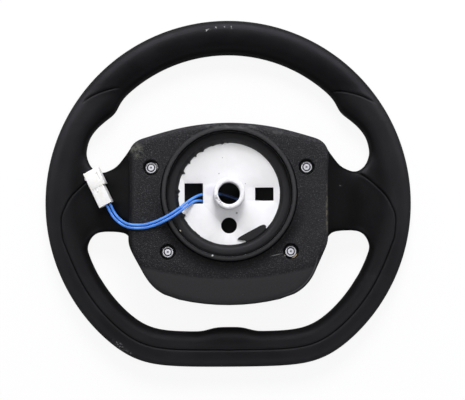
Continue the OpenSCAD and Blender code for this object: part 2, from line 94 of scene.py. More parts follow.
SCREWS = [(-77.3, 26), (77.3, 26), (-61.1, -57.8), (61.1, -57.8)]
SPOKE_Y = (-44.5, 46)
SPOKE_TOP = 1
SPOKE_LOW = -21

# The camera looks down on the column side, a little from the lower left
PHOTO_SIZE = (465, 400)
PHOTO_SCALE = 1.0125  # millimetres in a pixel at the rim's middle plane
CAMERA_AWAY = 2300
CAMERA_LEFT = math.radians(1)
CAMERA_BELOW = math.radians(2)
CAMERA_ROLL = math.radians(0.35)
CAMERA_AIM = (4.2, -5, -DISH)
SENSOR = 36


def make_camera():
    data = bpy.data.cameras.new("camera")
    camera = bpy.data.objects.new("camera", data)
    bpy.context.scene.collection.objects.link(camera)
    back = Vector((-math.tan(CAMERA_LEFT), -math.tan(CAMERA_BELOW), 1)).normalized()
    right = Vector((0, 1, 0)).cross(back).normalized()
    up = back.cross(right)
    turn = Matrix((right, up, back)).transposed() @ Matrix.Rotation(-CAMERA_ROLL, 3, "Z")
    camera.matrix_world = Matrix.Translation((Vector(CAMERA_AIM) + back * CAMERA_AWAY) * MM) @ turn.to_4x4()
    data.sensor_width = SENSOR
    data.lens = SENSOR * CAMERA_AWAY / (PHOTO_SIZE[0] * PHOTO_SCALE)
    data.clip_end = 20
    bpy.context.scene.camera = camera


make_camera()


# Materials
def new_material(name):
    material = bpy.data.materials.new(name)
    material.use_nodes = True
    nodes = material.node_tree.nodes
    nodes.clear()
    output = nodes.new("ShaderNodeOutputMaterial")
    shader = nodes.new("ShaderNodeBsdfPrincipled")
    material.node_tree.links.new(shader.outputs[0], output.inputs["Surface"])
    return material, shader


class Graph:
    """Short calls that add nodes to one material, or to the world."""

    def __init__(self, material):
        self.tree = material.node_tree
        self.where = self.add("ShaderNodeTexCoord").outputs["Object"]
        self.split = None

    def add(self, kind, **settings):
        node = self.tree.nodes.new(kind)
        for key, value in settings.items():
            setattr(node, key, value)
        return node

    def link(self, value, socket):
        if isinstance(value, (int, float, tuple)):
            socket.default_value = value
        else:
            self.tree.links.new(value, socket)

    def noise(self, scale, detail=3, rough=0.5, stretch=None):
        node = self.add("ShaderNodeTexNoise")
        node.inputs["Scale"].default_value = scale
        node.inputs["Detail"].default_value = detail
        node.inputs["Roughness"].default_value = rough
        where = self.where if stretch is None else self.stretched(stretch)
        self.link(where, node.inputs["Vector"])
        return node.outputs["Fac"]

    def stretched(self, factors):
        node = self.add("ShaderNodeMapping")
        node.inputs["Scale"].default_value = factors
        self.link(self.where, node.inputs["Vector"])
        return node.outputs["Vector"]

    def cells(self, scale):
        node = self.add("ShaderNodeTexVoronoi", feature="F1")
        node.inputs["Scale"].default_value = scale
        self.link(self.where, node.inputs["Vector"])
        return node.outputs["Distance"]

    def calc(self, operation, *values):
        node = self.add("ShaderNodeMath", operation=operation)
        for value, socket in zip(values, node.inputs):
            self.link(value, socket)
        return node.outputs[0]

    def times(self, product, *others):
        for value in others:
            product = self.calc("MULTIPLY", product, value)
        return product

    def plus(self, a, b):
        return self.calc("ADD", a, b)

    def less(self, a, b):
        return self.calc("SUBTRACT", a, b)

    def larger(self, a, b):
        return self.calc("MAXIMUM", a, b)

    def ramp(self, value, low, high, start=0.0, end=1.0):
        """Goes smoothly from start to end while the value goes from low to high."""
        node = self.add("ShaderNodeMapRange", interpolation_type="SMOOTHSTEP")
        for key, number in (("From Min", low), ("From Max", high), ("To Min", start), ("To Max", end)):
            node.inputs[key].default_value = number
        self.link(value, node.inputs["Value"])
        return node.outputs["Result"]

    def mix(self, share, a, b):
        node = self.add("ShaderNodeMix", data_type="RGBA")
        self.link(share, node.inputs["Factor"])
        self.link(a, node.inputs["A"])
        self.link(b, node.inputs["B"])
        return node.outputs["Result"]

    def cloudy(self, scale, detail, low, high, a, b):
        """Two colours in soft patches."""
        return self.mix(self.ramp(self.noise(scale, detail), low, high), a, b)

    def bump(self, height, strength, distance):
        node = self.add("ShaderNodeBump")
        node.inputs["Strength"].default_value = strength
        node.inputs["Distance"].default_value = distance
        self.link(height, node.inputs["Height"])
        return node.outputs["Normal"]

    def along(self, axis):
        """The place's X, Y or Z in millimetres."""
        if self.split is None:
            self.split = self.add("ShaderNodeSeparateXYZ")
            self.link(self.where, self.split.inputs[0])
        return self.calc("DIVIDE", self.split.outputs[axis], MM)

    def length(self, u, v):
        return self.calc("SQRT", self.plus(self.times(u, u), self.times(v, v)))

    def near(self, x, y, width, height, turn=0):
        """1 at a place given in millimetres, 0 outside an ellipse round it, seen along the shaft."""
        dx = self.less(self.along("X"), x)
        dy = self.less(self.along("Y"), y)
        c, s = math.cos(math.radians(turn)), math.sin(math.radians(turn))
        u = self.plus(self.times(dx, c / width), self.times(dy, s / width))
        v = self.less(self.times(dy, c / height), self.times(dx, s / height))
        return self.ramp(self.length(u, v), 1.0, 0.35)

    def band(self, value, low, high, soft):
        """1 where a value lies between two limits, with soft ends."""
        rise = self.ramp(value, low - soft, low + soft)
        return self.times(rise, self.ramp(value, high + soft, high - soft))


def grey(value, blue=1.0):
    return (value, value, value * blue, 1.0)


def finish_material(g, shader, base, rough, grain=None, metallic=0.0):
    """Rough is (scale, detail, least, most) of its noise, and grain (scale, detail, strength, distance)."""
    scale, detail, least, most = rough
    g.link(base, shader.inputs["Base Color"])
    g.link(g.ramp(g.noise(scale, detail), 0.3, 0.7, least, most), shader.inputs["Roughness"])
    if grain:
        scale, detail, strength, distance = grain
        g.link(g.bump(g.noise(scale, detail), strength, distance), shader.inputs["Normal"])
    shader.inputs["Metallic"].default_value = metallic


# Rubbed places on the foam: x, y, half width, half height, turn, strength
SCUFFS = [
    (-20.5, 166, 4.4, 1.6, 12, 1.0), (-12.4, 168.5, 2, 2, 30, 0.8), (-2, 169, 2.6, 1.6, -30, 0.7),
    (4.2, 168.8, 1.8, 2.4, 20, 0.6), (-110.5, -151, 11, 3.8, -38, 0.8), (-101, -157.5, 6, 2.4, -38, 0.5),
    (112, 7.6, 2.4, 1.4, 0, 0.5)
]


def foam_material():
    """Self-skinned foam: fine leather grain, a dull sheen, pale scuffs and rubbed places, with painted shade
    on the spokes, the rim's lower inner flank and round the plate's edge, and painted light inside the
    collar.
    """
    material, shader = new_material("foam")
    g = Graph(material)
    x, y = g.along("X"), g.along("Y")
    cloud = g.noise(18, 4, 0.6)
    upper = g.ramp(y, 96, 108)
    dark = g.mix(g.ramp(cloud, 0.35, 0.7), grey(0.0035, 1.1), grey(0.0055, 1.15))
    rubbed = g.mix(g.ramp(cloud, 0.35, 0.7), grey(0.01, 1.05), grey(0.014, 1.1))
    base = g.mix(upper, rubbed, dark)
    ring = g.length(x, g.plus(y, RIM_DROP))
    # Painted shade: the rim's inner flank at the bottom is darkened, where the hub keeps light off it.
    inner_flank_shade = g.times(g.ramp(ring, 168, 154), g.ramp(y, -158, -146))
    base = g.mix(g.times(inner_flank_shade, 0.75), base, grey(0.003))
    r = g.length(x, y)
    # Painted shade: the spokes' foam is darkened towards the hub, and further down its sheen is turned down
    # there too.
    spoke = g.ramp(r, 142, 128)
    base = g.mix(g.times(spoke, 0.9), base, grey(0.0042))
    # Painted light: the foam inside the collar is painted lighter, standing in for light that the collar
    # keeps off it.
    base = g.mix(g.ramp(r, COLLAR_R + 3, COLLAR_R - 1), base, grey(0.021, 1.08))
    # Painted shade: a thin dark ring where the foam meets the plate's edge.
    plate_edge_shade = g.times(g.ramp(r, BARE_R + 4, BARE_R + 2), g.ramp(r, BARE_R - 1, BARE_R))
    base = g.mix(plate_edge_shade, base, grey(0.004))
    specks = g.times(g.ramp(g.noise(900, 2), 0.72, 0.8), g.ramp(g.noise(30, 2), 0.5, 0.7))
    base = g.mix(g.times(specks, 0.5), base, grey(0.12))
    for right, up, w, h, turn, gain in SCUFFS:
        grain = g.ramp(g.noise(420, 3, 0.7, (1, 1.6, 1)), 0.5, 0.66)
        base = g.mix(g.times(g.near(right, up, w, h, turn), grain, gain), base, grey(0.45))
    pale_chip = g.near(-49, -36.8, 1.7, 1.3)
    base = g.mix(pale_chip, base, (0.8, 0.76, 0.6, 1))
    seam = g.add("ShaderNodeAttribute", attribute_name="seam").outputs["Fac"]
    base = g.mix(seam, base, grey(0.001))
    g.link(base, shader.inputs["Base Color"])
    g.link(g.ramp(g.noise(60, 3), 0.3, 0.7, 0.42, 0.52), shader.inputs["Roughness"])
    skin = g.plus(g.cells(1500), g.times(g.noise(650, 3), 0.8))
    g.link(g.bump(skin, 0.14, 0.0003), shader.inputs["Normal"])
    dull = g.larger(seam, g.times(spoke, g.ramp(r, COLLAR_R - 1, COLLAR_R + 3), 0.6))
    g.link(g.times(g.less(1, dull), 0.4), shader.inputs["Specular IOR Level"])
    return material


# Dust and wear on the cover: x, y, half width, half height, turn, strength, colour
COVER_DUST = [
    (-92, 43, 12, 10, -40, 0.75, (0.115, 0.12, 0.09, 1)), (0, 66.5, 36, 3.4, 0, 0.4, grey(0.16)),
    (97.2, -17, 1.6, 36, 0, 1, (0.13, 0.12, 0.085, 1)), (40, 62, 34, 3, -12, 0.25, grey(0.12))
]
# Chips and scratches: x, y, half width, half height, turn, colour
COVER_CHIPS = [
    (46.5, -61.3, 8, 0.6, 12, grey(0.12)), (-16.8, -61.6, 1.2, 1, 0, grey(0.8)),
    (55.9, -61.6, 1.5, 1.1, 30, (0.75, 0.7, 0.5, 1))
]


def cover_material():
    """Coarsely textured black moulding, dusty and rubbed at the edges, with a smoother skirt, and painted
    shade round the collar, along the left edge and above the skirt's fold.
    """
    material, shader = new_material("cover")
    g = Graph(material)
    x, y = g.along("X"), g.along("Y")
    r = g.length(x, y)
    fold = g.less(y, g.times(x, x, SKIRT_BOW))
    skirt = g.ramp(fold, SKIRT_Y + 1, SKIRT_Y - 2.5)
    collar = g.band(r, COLLAR_R - 3.2, COLLAR_R - 0.5, 0.3)
    smooth = g.larger(skirt, collar)
    grain = g.noise(850, 3, 0.7)
    cloud = g.noise(14, 5, 0.62)
    base = g.mix(g.ramp(cloud, 0.3, 0.75), grey(0.008, 1.1), grey(0.0125, 1.08))
    # Painted shade: a band of the face just above the skirt's fold is darkened, in the collar's shade.
    base = g.mix(g.times(g.band(fold, SKIRT_Y + 1, SKIRT_Y + 12, 3), 0.5), base, grey(0.005))
    base = g.mix(g.times(g.ramp(grain, 0.5, 0.72), 0.9), base, grey(0.075, 1.04))
    base = g.mix(g.times(smooth, 0.85), base, grey(0.038))
    # Painted shade: the collar's upper side is darkened, to tone down the light that falls on it.
    base = g.mix(g.times(collar, g.ramp(y, 5, 45), 0.5), base, grey(0.01))
    around = g.times(g.ramp(r, 84, 70), g.ramp(r, COLLAR_R - 0.5, COLLAR_R + 0.5))
    left_edge = g.ramp(x, -93.5, -98)
    shade = g.larger(g.times(around, g.ramp(y, 10, -45)), left_edge)
    base = g.mix(g.times(shade, 0.75), base, grey(0.002))
    corner = g.length(g.less(x, CORNER_AT[0]), g.less(y, CORNER_AT[1]))
    rubbed = g.times(g.band(corner, CORNER_R - 2.4, CORNER_R - 1.3, 0.4), g.near(74, -87, 34, 18, 45))
    base = g.mix(g.times(rubbed, 0.8), base, grey(0.13))
    # Painted shade: dark lines at the collar's foot, stronger towards the bottom, and at the inner edge of
    # its lip.
    foot_shade = g.times(g.band(r, COLLAR_R + 0.1, COLLAR_R + 1.4, 0.3), g.ramp(y, 45, 20, 0.15, 0.9))
    lip = g.ramp(g.along("Z"), LIP_Z - 5, LIP_Z - 2, 0.3, 0.93)
    lip = g.times(g.band(r, COLLAR_R - 8, COLLAR_R - 4.2, 0.3), lip)
    collar_shade_lines = g.larger(foot_shade, lip)
    base = g.mix(collar_shade_lines, base, grey(0.001))
    dust = g.ramp(g.noise(160, 5, 0.7), 0.4, 0.66)
    for right, up, w, h, turn, gain, tone in COVER_DUST:
        place = g.times(g.near(right, up, w, h, turn), gain)
        base = g.mix(g.times(dust, place), base, tone)
    for right, up, w, h, turn, tone in COVER_CHIPS:
        base = g.mix(g.near(right, up, w, h, turn), base, tone)
    specks = g.times(g.ramp(g.noise(700, 2), 0.72, 0.78), g.ramp(g.noise(22, 2), 0.45, 0.7))
    base = g.mix(g.times(specks, 0.8), base, grey(0.3))
    g.link(base, shader.inputs["Base Color"])
    g.link(g.ramp(cloud, 0.3, 0.7, 0.52, 0.64), shader.inputs["Roughness"])
    height = g.plus(g.times(g.cells(1100), 1.2), grain)
    rough = g.less(1, g.times(smooth, 0.8))
    g.link(g.bump(g.times(height, rough), 0.7, 0.0005), shader.inputs["Normal"])
    dull = g.larger(g.times(shade, 0.5), collar_shade_lines)
    g.link(g.times(g.less(1, dull), 0.5), shader.inputs["Specular IOR Level"])
    return material


def plain_black_material(name, tone, roughness, scale):
    material, shader = new_material(name)
    g = Graph(material)
    base = g.cloudy(25, 4, 0.35, 0.7, grey(tone), grey(tone * 1.5))
    finish_material(g, shader, base, (80, 3, roughness - 0.05, roughness + 0.07), (scale, 3, 0.25, 0.0003))
    return material


def plate_material():
    """Whitish zinc plating with specks, a punch mark and a lavender-grey patch left of the boss."""
    material, shader = new_material("plating")
    g = Graph(material)
    base = g.cloudy(40, 4, 0.3, 0.7, grey(0.86), grey(0.93, 1.01))
    specks = g.times(g.ramp(g.noise(620, 2), 0.7, 0.76), g.ramp(g.noise(28, 3), 0.45, 0.68))
    base = g.mix(g.times(specks, 0.6), base, grey(0.32))
    base = g.mix(g.times(g.near(-18, 2.6, 8, 7), 0.45), base, (0.62, 0.6, 0.72, 1))
    for x, y, r in ((7.7, -19.2, 1.5), (-6.2, 36, 0.7), (-9.8, 20.2, 0.9), (16.5, 10, 0.7)):
        base = g.mix(g.times(g.near(x, y, r, r), 0.75), base, grey(0.2))
    finish_material(g, shader, base, (90, 4, 0.5, 0.7), (300, 4, 0.2, 0.0002), 0.15)
    return material


def steel_material(name, tone, roughness):
    material, shader = new_material(name)
    g = Graph(material)
    base = g.cloudy(220, 4, 0.3, 0.7, grey(tone * 0.8), grey(tone))
    finish_material(g, shader, base, (350, 3, roughness - 0.06, roughness + 0.1), (900, 3, 0.15, 0.0001), 1)
    return material


def boss_material():
    """Turned and zinc plated, with nicks, and grey on the left of its end face that is partly nicks and
    partly painted shade.
    """
    material, shader = new_material("boss")
    g = Graph(material)
    base = g.cloudy(220, 4, 0.3, 0.7, grey(0.78), grey(0.92))
    # Partly nicks and partly painted shade: the left of the end face is greyed in broken patches.
    nicks_and_shade = g.times(g.near(-12, -8, 7, 13, 20), g.ramp(g.noise(330, 3, 0.7), 0.42, 0.62))
    base = g.mix(g.times(nicks_and_shade, 0.75), base, grey(0.22))
    chips = g.ramp(g.noise(640, 3, 0.7), 0.66, 0.72)
    base = g.mix(g.times(chips, 0.6), base, grey(0.12))
    finish_material(g, shader, base, (350, 3, 0.36, 0.5), (900, 3, 0.15, 0.0001), 0.12)
    return material


def screw_material():
    """Bright zinc with painted shade in the groove round the head's middle and in its socket."""
    material, shader = new_material("screw")
    g = Graph(material)
    base = g.cloudy(220, 4, 0.3, 0.7, grey(0.66, 1.06), grey(0.86, 1.08))
    chips = g.times(g.ramp(g.noise(520, 3, 0.7), 0.6, 0.7), 0.5)
    base = g.mix(chips, base, grey(0.12))
    # Painted shade: the groove round the head's middle, with all below it, and the square socket are
    # darkened.
    groove_shade = g.ramp(g.along("Z"), 6.7, 6.4)
    for x, y in SCREWS:
        groove_shade = g.larger(groove_shade, g.times(g.near(x, y, 1.6, 1.6), 0.75))
    base = g.mix(g.times(groove_shade, 0.95), base, grey(0.006))
    finish_material(g, shader, base, (350, 3, 0.26, 0.4), (900, 3, 0.15, 0.0001), 0.2)
    return material


def grubby_washer_material():
    """A washer under dust and grease, with a bare brassy crescent."""
    material, shader = new_material("grubby_washer")
    g = Graph(material)
    base = g.cloudy(300, 4, 0.35, 0.7, grey(0.012), grey(0.05))
    base = g.mix(g.near(65.4, -62.8, 5, 2.2, 35), base, (0.75, 0.62, 0.4, 1))
    base = g.mix(g.near(-71.3, 28.5, 2.2, 5, 15), base, grey(0.8))
    finish_material(g, shader, base, (350, 3, 0.35, 0.5), metallic=0.4)
    return material


def brass_material():
    material, shader = new_material("brass")
    g = Graph(material)
    base = g.cloudy(260, 4, 0.3, 0.7, (0.4, 0.27, 0.1, 1), (0.66, 0.48, 0.2, 1))
    finish_material(g, shader, base, (300, 3, 0.28, 0.45), metallic=1)
    return material


def lead_material():
    """Blue sleeve, glossy, a little grubby, and painted dark with shade where it is seen through the bore."""
    material, shader = new_material("blue_sleeve")
    g = Graph(material)
    base = g.cloudy(70, 3, 0.35, 0.7, (0.07, 0.22, 0.66, 1), (0.12, 0.34, 0.86, 1))
    base = g.mix(g.times(g.ramp(g.noise(500, 3), 0.62, 0.75), 0.25), base, (0.02, 0.06, 0.2, 1))
    # Painted shade: the sleeve is darkened where it runs in the bore.
    base = g.mix(g.times(g.near(0, 0, 16, 16), 0.94), base, (0.01, 0.014, 0.05, 1))
    finish_material(g, shader, base, (200, 2, 0.28, 0.38), (700, 2, 0.1, 0.0001))
    return material


def nylon_material():
    """Off-white nylon, a little yellow in soft patches."""
    material, shader = new_material("nylon")
    g = Graph(material)
    base = g.cloudy(120, 3, 0.4, 0.75, (0.93, 0.93, 0.91, 1), (0.87, 0.86, 0.78, 1))
    finish_material(g, shader, base, (160, 3, 0.38, 0.5), (800, 2, 0.1, 0.0001))
    shader.inputs["Subsurface Weight"].default_value = 0.1
    shader.inputs["Subsurface Radius"].default_value = (0.002, 0.002, 0.0015)
    shader.inputs["Subsurface Scale"].default_value = 0.5
    return material


FOAM = foam_material()
COVER = cover_material()
HOUSING = plain_black_material("housing", 0.005, 0.5, 900)
PAD = plain_black_material("pad", 0.013, 0.55, 1400)
PLATING = plate_material()
BOSS = boss_material()
SCREW = screw_material()
GRUBBY = grubby_washer_material()
SPRING = steel_material("spring", 0.3, 0.35)
ROD = steel_material("rod", 0.22, 0.5)
TIN = steel_material("tin", 0.6, 0.35)
BRASS = brass_material()
SLEEVE = lead_material()
NYLON = nylon_material()


# Meshes
def add_object(name, mesh, material, body="wheel"):
    piece = bpy.data.objects.new(name, mesh)
    bpy.context.scene.collection.objects.link(piece)
    mesh.materials.clear()
    mesh.materials.append(material)
    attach(piece, body)
    return piece


def mesh_from(name, points, faces, sharp):
    """A mesh from points in millimetres, smooth apart from edges sharper than an angle."""
    mesh = bpy.data.meshes.new(name)
    mesh.from_pydata([Vector(p) * MM for p in points], [], faces)
    mesh.validate()
    mesh.shade_smooth()
    if sharp:
        mesh.set_sharp_from_angle(angle=math.radians(sharp))
    return mesh


def tube_faces(rings, sides, closed):
    faces = []
    for i in range(rings if closed else rings - 1):
        k = (i + 1) % rings
        for j in range(sides):
            m = (j + 1) % sides
            faces.append((i * sides + j, i * sides + m, k * sides + m, k * sides + j))
    if not closed:
        faces.append(tuple(range(sides - 1, -1, -1)))
        faces.append(tuple((rings - 1) * sides + j for j in range(sides)))
    return faces


def loft_mesh(name, rings, closed, sharp):
    """A tube through rings of points. It joins up with its start if closed, and has end faces if not."""
    points = [p for ring in rings for p in ring]
    mesh = mesh_from(name, points, tube_faces(len(rings), len(rings[0]), closed), sharp)
    outward(mesh)
    return mesh


def outward(mesh):
    b = bmesh.new()
    b.from_mesh(mesh)
    bmesh.ops.recalc_face_normals(b, faces=b.faces)
    b.to_mesh(mesh)
    b.free()


# Cords: the routes repeat the solids' own points
LEAD_D = 2.7
ROUTE_A = [
    (-121.3, -3.9, -10.8), (-118.3, -10.1, -10.2), (-115.4, -16.2, -9.6), (-111.8, -21.5, -7),
    (-107.6, -25.6, -2), (-103.2, -28.6, 4.4), (-98.8, -30.2, 11.4), (-93.4, -30.9, 14), (-84, -30.6, 13.8),
    (-74, -28, 15), (-66, -24.6, 18), (-58.5, -20.6, 18.7), (-50, -14.8, 14.2), (-42, -8.8, 7.8),
    (-35, -3.8, 0.8), (-27, -0.4, -5.4), (-18, 1, -8.8), (-9, 0.2, -9.9), (0, -2.2, -10), (8, -5, -10),
    (15, -7.2, -10), (21, -8, -10)
]
ROUTE_B = [
    (-124.4, -5.4, -11.8), (-121.4, -11.6, -11.1), (-118.2, -18, -10.4), (-114.4, -23.6, -7.8),
    (-109.4, -28.2, -2.4), (-103.8, -31.6, 4.4), (-98.9, -33.4, 11.4), (-93.4, -34, 14), (-83.6, -33.7, 13.8),
    (-73, -31, 15), (-64.6, -27.4, 18), (-57, -23.4, 18.7), (-49.2, -17.9, 14.2), (-41.4, -12.2, 7.8),
    (-34.4, -7.4, 0.6), (-27, -6.8, -5.6), (-20, -9.2, -9.2), (-14, -12.4, -10), (-10, -14, -10)
]
CORD_STEPS = 6


def smooth_path(points, steps=CORD_STEPS):
    """A smooth curve through the points, as close points along it."""
    p = [Vector(q) for q in points]
    path = []
    for i in range(len(p) - 1):
        a, b, c, d = p[max(i - 1, 0)], p[i], p[i + 1], p[min(i + 2, len(p) - 1)]
        for k in range(steps):
            t = k / steps
            square, cube = 2 * a - 5 * b + 4 * c - d, 3 * b - a - 3 * c + d
            path.append(0.5 * (2 * b + (c - a) * t + square * t ** 2 + cube * t ** 3))
    return path + [p[-1]]


def make_lead(name, route, node):
    path = smooth_path(route)
    curve = bpy.data.curves.new(name, "CURVE")
    curve.dimensions = "3D"
    spline = curve.splines.new("POLY")
    spline.points.add(len(path) - 1)
    for point, place in zip(spline.points, path):
        point.co = (*(place * MM), 1)
    curve.bevel_depth = LEAD_D / 2 * MM
    curve.bevel_resolution = 5
    curve.use_fill_caps = True
    curve.materials.append(SLEEVE)
    piece = bpy.data.objects.new(name, curve)
    bpy.context.scene.collection.objects.link(piece)
    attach(piece, "wheel")
    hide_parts(node)


make_lead("blue_lead_a", ROUTE_A, "lead_a")
make_lead("blue_lead_b", ROUTE_B, "lead_b")


# The foam rim and its spokes
RIM_STEPS = 360
RIM_SIDES = 64


def bell(u):
    return math.exp(-u * u)


def smoothstep(value, low, high):
    t = min(1, max(0, (value - low) / (high - low)))
    return t * t * (3 - 2 * t)


def cut_circle(r, flat, a):
    """The radius at angle a of a circle that a flat cuts off below."""
    return r * (1 + (max(0, -math.sin(a)) * r / flat) ** FLAT_CORNER) ** (-1 / FLAT_CORNER)


def rim_outer(a):
    return cut_circle(RIM_R, RIM_FLAT, a)


def rim_inner(a):
    """The rim's inner radius, with the thumb rests, the palm hollows and the swelling at 6 o'clock."""
    degrees = math.degrees(a)
    fold = 180 - abs(degrees) if abs(degrees) > 90 else abs(degrees)
    thumb = 0
    if 0 < degrees < 180:
        thumb = THUMB_H * bell((fold - THUMB_AT) / THUMB_W) - HOLLOW_H * bell((fold - HOLLOW_AT) / HOLLOW_W)
    swell = SWELL_H * math.exp(-((degrees + 90) / SWELL_W) ** 4)
    return cut_circle(RIM_R - GRIP_W, RIM_FLAT - GRIP_W - 1, a) - thumb - swell


def signed_pow(value, power):
    return math.copysign(abs(value) ** power, value)


def rim_rings():
    rings = []
    for i in range(RIM_STEPS):
        a = -math.pi + 2 * math.pi * i / RIM_STEPS
        mid, half = (rim_outer(a) + rim_inner(a)) / 2, (rim_outer(a) - rim_inner(a)) / 2
        ring = []
        for j in range(RIM_SIDES):
            b = 2 * math.pi * j / RIM_SIDES
            r = mid + half * signed_pow(math.cos(b), 2 / SQUARENESS)
            z = -DISH + GRIP_T / 2 * signed_pow(math.sin(b), 2 / SQUARENESS)
            ring.append((r * math.cos(a), r * math.sin(a) - RIM_DROP, z))
        rings.append(ring)
    return rings


# One section of a spoke: x, lowest y, highest y, share sunk below, share sunk on top, squareness
SPOKE_SECTIONS = [
    (88, -44.5, 46, -0.04, 0, 6), (98, -44.5, 46, 0, 0, 6), (101, -41, 42, 0.08, 0.12, 5.6),
    (104, -38.8, 38.2, 0.17, 0.27, 5), (112, -37.2, 29.2, 0.39, 0.57, 4), (120, -36.8, 24.8, 0.57, 0.77, 3.4),
    (128, -37.2, 23, 0.74, 0.89, 3), (136, -40.5, 27, 0.91, 0.96, 2.8), (141, -48, 34, 1, 1, 2.6),
    (144, -58, 44, 1.04, 1.02, 2.6), (156, -72, 58, 1.13, 1.09, 2.4)
]
SPOKE_STEPS = 60
SPOKE_SIDES = 96
# A share of 1 is sunk to these heights, inside the rim
ROOT_TOP = 14 - DISH
ROOT_LOW = -DISH - 9


def between(table, x):
    """The row of a table at x, smoothly between its rows."""
    keys = [row[0] for row in table]
    i = min(max(bisect.bisect_right(keys, x) - 1, 0), len(table) - 2)
    rows = [table[min(max(k, 0), len(table) - 1)] for k in (i - 1, i, i + 1, i + 2)]
    t = (x - keys[i]) / (keys[i + 1] - keys[i])
    slopes = []
    for k in (0, 1):
        low, high = rows[k], rows[k + 2]
        slopes.append([(h - l) / (high[0] - low[0]) for l, h in zip(low, high)])
    width = keys[i + 1] - keys[i]
    h00, h10 = 2 * t ** 3 - 3 * t ** 2 + 1, t ** 3 - 2 * t ** 2 + t
    h01, h11 = -2 * t ** 3 + 3 * t ** 2, t ** 3 - t ** 2
    return [
        h00 * a + h10 * width * sa + h01 * b + h11 * width * sb
        for a, b, sa, sb in zip(rows[1], rows[2], *slopes)
    ]


def spoke_rings(side):
    rings = []
    start, end = SPOKE_SECTIONS[0][0], SPOKE_SECTIONS[-1][0]
    for i in range(SPOKE_STEPS + 1):
        section = between(SPOKE_SECTIONS, start + (end - start) * i / SPOKE_STEPS)
        x, y0, y1, low_share, top_share, square = section
        low = SPOKE_LOW + (ROOT_LOW - SPOKE_LOW) * low_share
        top = SPOKE_TOP + (ROOT_TOP - SPOKE_TOP) * top_share
        ring = []
        for j in range(SPOKE_SIDES):
            b = -2 * math.pi * j / SPOKE_SIDES
            y = (y0 + y1) / 2 + (y1 - y0) / 2 * signed_pow(math.cos(b), 2 / square)
            z = (low + top) / 2 + (top - low) / 2 * signed_pow(math.sin(b), 2 / square)
            ring.append((side * x, y, z))
        rings.append(ring)
    return rings


def apply_modifiers(piece):
    graph = bpy.context.evaluated_depsgraph_get()
    graph.update()
    mesh = bpy.data.meshes.new_from_object(piece.evaluated_get(graph))
    piece.modifiers.clear()
    old = piece.data
    piece.data = mesh
    bpy.data.meshes.remove(old)


# Seams in the foam, as places seen along the shaft. The lower one runs all round below the spokes.
SEAM_W = 1.1
SEAM_DEPTH = 1.1
SEAM_REACHES = (3.2, 2)  # the mesh is halved once within each
SEAM_STEP = 0.6
SEAM_FADE = 14  # steps from a seam's end to its full depth
SEAM_FROM_FLAT = 17.5
BESIDE_W = 7  # the foam swells this far beside a seam, and this high on its outer side
BESIDE_H = 0.35
INNER_SHARE = 0.35  # of that height, on a seam's inner side


def circle_point(r, degrees):
    a = math.radians(degrees)
    return (r * math.cos(a), r * math.sin(a) - RIM_DROP)


def lower_seam():
    """From the root of the right spoke's top, along the rim's crown and back to the left spoke."""
    right = [(127, 24.5), (139, 16.5), (149, 8), (157, -1.5), (162, -12), (165, -24)]
    crown = []
    for degrees in range(-12, -90, -3):
        r = cut_circle(RIM_R - 17, RIM_FLAT - SEAM_FROM_FLAT, math.radians(degrees))
        crown.append(circle_point(r, degrees))
    half = [(x + 3.4 * bell((y + 29) / 27), y) for x, y in right + crown]
    bottom = (0, -RIM_FLAT + SEAM_FROM_FLAT - RIM_DROP)
    return half + [bottom] + [(-x, y) for x, y in reversed(half)]


def upper_seams():
    left = [(-147.5, 92.5), (-139.5, 99), (-128, 104), (-115.5, 107.5), (-107, 108)]
    right = [(148.5, 92), (139.5, 97), (128, 101), (115.5, 103.5), (103, 103.5)]
    return [left, right]


def path_2d(points):
    """Close points along a smooth curve through points in the plane."""
    path = [Vector((q.x, q.y)) for q in smooth_path([(x, y, 0) for x, y in points], 12)]
    result, left = [path[0]], 0
    for a, b in zip(path, path[1:]):
        run = (b - a).length
        while left + run >= SEAM_STEP:
            a = a + (b - a).normalized() * (SEAM_STEP - left)
            run = (b - a).length
            left = 0
            result.append(a.copy())
        left += run
    return result


def seam_tree(paths):
    """The seams' points for a search by place, and each one's place, direction and strength."""
    points = []
    for path in paths:
        for i, p in enumerate(path):
            ahead = path[min(i + 1, len(path) - 1)] - path[max(i - 1, 0)]
            strength = min(1, min(i, len(path) - 1 - i) / SEAM_FADE)
            points.append((p, ahead.normalized(), strength))
    tree = KDTree(len(points))
    for i, (p, _, _) in enumerate(points):
        tree.insert((p.x * MM, p.y * MM, 0), i)
    tree.balance()
    return tree, points


def cut_seams(mesh):
    """Presses the seams into the column side, after a finer mesh near them."""
    tree, points = seam_tree([path_2d(lower_seam())] + [path_2d(s) for s in upper_seams()])
    b = bmesh.new()
    b.from_mesh(mesh)

    def seam_at(v):
        _, i, far = tree.find((v.co.x, v.co.y, 0))
        return i, far / MM

    for reach in SEAM_REACHES:
        b.normal_update()
        edges = {}
        for f in b.faces:
            if f.normal.z > 0.1 and seam_at(f.verts[0])[1] < reach:
                edges.update(dict.fromkeys(f.edges))
        bmesh.ops.subdivide_edges(b, edges=list(edges), cuts=1, use_grid_fill=True)
    b.normal_update()
    shade = b.verts.layers.float.new("seam")
    moves = []
    for v in b.verts:
        if v.normal.z < 0.1 or v.co.z < -DISH * MM:
            continue
        i, far = seam_at(v)
        if far > BESIDE_W:
            continue
        place, ahead, strength = points[i]
        outside = ahead.cross(Vector((v.co.x / MM, v.co.y / MM)) - place) < 0
        depth = SEAM_DEPTH * bell(far / SEAM_W) * strength
        swell = BESIDE_H * strength * smoothstep(far, 0, 1.5) * (1 - smoothstep(far, 2, BESIDE_W))
        v[shade] = 0.85 * strength * bell(far / 0.8)
        moves.append((v, -depth + (swell if outside else swell * INNER_SHARE)))
    for v, move in moves:
        v.co += v.normal * move * MM
    b.to_mesh(mesh)
    b.free()


VOXEL = 1.6
